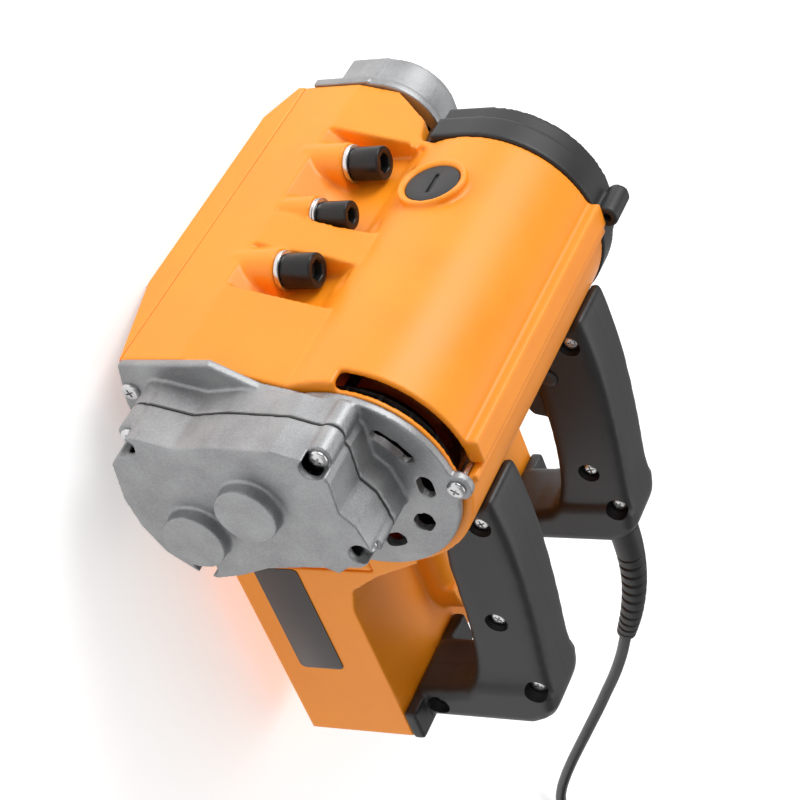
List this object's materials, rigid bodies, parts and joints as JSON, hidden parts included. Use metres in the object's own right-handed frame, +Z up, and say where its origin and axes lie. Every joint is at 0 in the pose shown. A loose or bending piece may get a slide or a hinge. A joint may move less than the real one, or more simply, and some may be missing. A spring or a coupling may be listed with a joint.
{
  "type": "wall chaser",
  "caption": "Hand-held electric wall chaser: orange moulded guard and motor barrel, cast side gear case, two black D-handles, sprung sole plate and mains lead.",
  "frame": {"origin": "centre of the tool's footprint on the surface it stands on, at the underside of the sole plate, without the mains lead", "axes": "+X along the motor and blade shafts towards the gear case, +Y towards the end of the lower housing where the lead leaves, +Z up to the handles"},
  "size_m": [0.33, 0.7406, 0.205],
  "materials": {
    "orange_plastic": "moulded nylon",
    "black_plastic": "moulded, satin",
    "cast_aluminium": "die cast, grainy",
    "gasket_paper": "fibre",
    "plated_steel": "zinc plated",
    "machined_steel": "machined",
    "diamond_blade": "ground, sintered rim",
    "black_oxide_steel": "black oxide",
    "copper_wire": "enamelled",
    "brass": "pressed",
    "carbon": "graphite",
    "label_foil": "satin foil",
    "lead_rubber": "matt rubber"
  },
  "bodies": {
    "tool_body": {"upper_housing": "orange_plastic", "lower_housing": "orange_plastic", "dust_skirt": "orange_plastic", "end_cap": "black_plastic", "bearing_bulkhead": "black_plastic", "gear_case_body": "cast_aluminium", "gear_case_cover": "cast_aluminium", "cover_gasket": "gasket_paper", "cover_screws": "plated_steel", "flange_screws": "plated_steel", "outboard_casting": "cast_aluminium", "outboard_screws": "plated_steel", "stator_core": "machined_steel", "field_coils": "copper_wire", "brush_holders": "brass", "carbon_brushes": "carbon", "brush_springs": "plated_steel", "brush_caps": "black_plastic", "label_plate": "label_foil", "near_handle_outer": "black_plastic", "near_handle_inner": "black_plastic", "far_handle_outer": "black_plastic", "far_handle_inner": "black_plastic", "handle_screws": "plated_steel", "switch_body": "black_plastic", "cord_clamp": "black_plastic", "motor_bearings": "plated_steel", "idler_bearings": "plated_steel", "blade_bearings": "plated_steel", "depth_screw": "black_oxide_steel", "depth_washers": "plated_steel", "guide_washers": "plated_steel", "trigger_spring": "plated_steel", "cord_boot": "lead_rubber", "mains_lead": "lead_rubber", "lead_coil": "lead_rubber", "coil_tie": "lead_rubber", "mains_plug": "black_plastic"},
    "blade_unit": {"blade_shaft": "machined_steel", "blade_gear": "machined_steel", "blade_flanges": "plated_steel", "diamond_blades": "diamond_blade", "blade_spacers": "plated_steel", "blade_nut": "plated_steel"},
    "idler_unit": {"idler_shaft": "machined_steel", "idler_gear": "machined_steel"},
    "armature_unit": {"armature_shaft": "machined_steel", "armature_core": "machined_steel", "armature_windings": "copper_wire", "commutator": "copper_wire", "cooling_fan": "black_plastic", "motor_pinion": "machined_steel"},
    "sole_unit": {"sole_plate": "plated_steel", "guide_bolts": "black_oxide_steel", "guide_pins": "plated_steel", "plunge_springs": "plated_steel"},
    "trigger_unit": {"trigger": "black_plastic"},
    "lock_unit": {"lock_button": "black_plastic"}
  },
  "joints": [
    {"name": "blade_spin", "type": "hinge", "parent": "tool_body", "child": "blade_unit", "pos_m": [0, -0.0675, 0.062], "axis": [1, 0, 0], "continuous": true},
    {"name": "idler_spin", "type": "hinge", "parent": "tool_body", "child": "idler_unit", "pos_m": [0.13, -0.08693, 0.10092], "axis": [1, 0, 0], "continuous": true},
    {"name": "armature_spin", "type": "hinge", "parent": "tool_body", "child": "armature_unit", "pos_m": [0, -0.0635, 0.131], "axis": [1, 0, 0], "continuous": true},
    {"name": "sole_plunge", "type": "slide", "parent": "tool_body", "child": "sole_unit", "axis": [0, 0, 1], "range_m": [0, 0.012], "stiffness_N_per_m": 4000, "springref_m": -0.03, "deforming": ["plunge_springs"]},
    {"name": "trigger_pull", "type": "hinge", "parent": "tool_body", "child": "trigger_unit", "pos_m": [-0.0695, 0.062, 0.161], "axis": [-1, 0, 0], "range_deg": [0, 8], "stiffness_Nm_per_rad": 0.6, "springref_deg": -14.32},
    {"name": "lock_press", "type": "slide", "parent": "tool_body", "child": "lock_unit", "axis": [-1, 0, 0], "range_m": [0, 0.003], "stiffness_N_per_m": 900, "springref_m": -0.002}
  ],
  "couplings": [
    {"joint": "idler_spin", "follows": "blade_spin", "ratio": -1.0714},
    {"joint": "armature_spin", "follows": "blade_spin", "ratio": 3.2857}
  ]
}
